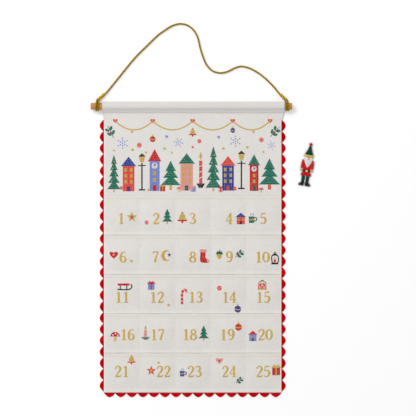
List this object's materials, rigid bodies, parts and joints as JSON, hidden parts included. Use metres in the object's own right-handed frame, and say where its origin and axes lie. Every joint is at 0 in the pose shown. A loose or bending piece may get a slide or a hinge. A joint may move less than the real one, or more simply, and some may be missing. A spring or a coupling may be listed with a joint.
{
  "type": "hanging advent calendar",
  "caption": "Embroidered cloth advent calendar with rows of numbered pockets, scalloped trim, a dowel in a rod sleeve, a hanging cord and a loose stuffed marker.",
  "frame": {"origin": "on the back face, on the centre line, midway between the bottom edge and the top of the rod sleeve", "axes": "+X to the right seen from the front, +Y up the panel towards the dowel, +Z out of the front"},
  "size_m": [0.6695, 1.1214, 0.0299],
  "materials": {
    "canvas": "plain-woven cotton canvas, off-white, matt",
    "lining": "plain cotton lining, matt",
    "interlining": "soft needled interlining",
    "wood": "bare sanded hardwood",
    "red_trim": "wide woven ric-rac, slight sheen",
    "gold_cord": "twisted metallic cord",
    "white_felt": "wool felt",
    "red_thread": "satin stitch thread",
    "green_thread": "satin stitch thread",
    "gold_thread": "metallic stitch thread",
    "black_thread": "satin stitch thread",
    "skin_thread": "satin stitch thread"
  },
  "bodies": {
    "calendar": {"back_lining": "lining", "interlining": "interlining", "front_panel": "canvas", "rod_sleeve": "canvas", "pocket_row_1": "canvas", "pocket_row_2": "canvas", "pocket_row_3": "canvas", "pocket_row_4": "canvas", "pocket_row_5": "canvas", "scallop_trim_left": "red_trim", "scallop_trim_right": "red_trim", "scallop_trim_bottom": "red_trim"},
    "dowel": {"dowel": "wood"},
    "cord": {"hanging_cord": "gold_cord", "cord_winding_left": "gold_cord", "cord_winding_right": "gold_cord", "cord_doubled_end_left": "gold_cord", "cord_doubled_end_right": "gold_cord"},
    "marker": {"marker_felt_back": "white_felt", "marker_pompom": "red_thread", "marker_hat": "green_thread", "marker_hat_band": "gold_thread", "marker_nose": "skin_thread", "marker_beard": "white_felt", "marker_coat": "red_thread", "marker_belt": "black_thread", "marker_buckle": "gold_thread", "marker_coat_skirt": "red_thread", "marker_sleeve_left": "red_thread", "marker_sleeve_right": "red_thread", "marker_mitten_left": "gold_thread", "marker_mitten_right": "gold_thread", "marker_leg_left": "green_thread", "marker_leg_right": "green_thread", "marker_boot_left": "black_thread", "marker_boot_right": "black_thread"}
  },
  "joints": [
    {"name": "dowel_slide", "type": "slide", "parent": "calendar", "child": "dowel", "axis": [1, 0, 0], "range_m": [-0.6, 0.6]},
    {"name": "cord_swing", "type": "hinge", "parent": "calendar", "child": "cord", "pos_m": [0, 0.4212, 0.0151], "axis": [1, 0, 0], "range_deg": [0, 180]},
    {"name": "marker_lift", "type": "slide", "parent": "calendar", "child": "marker", "axis": [0, 0, 1], "range_m": [0, 0.08]}
  ]
}
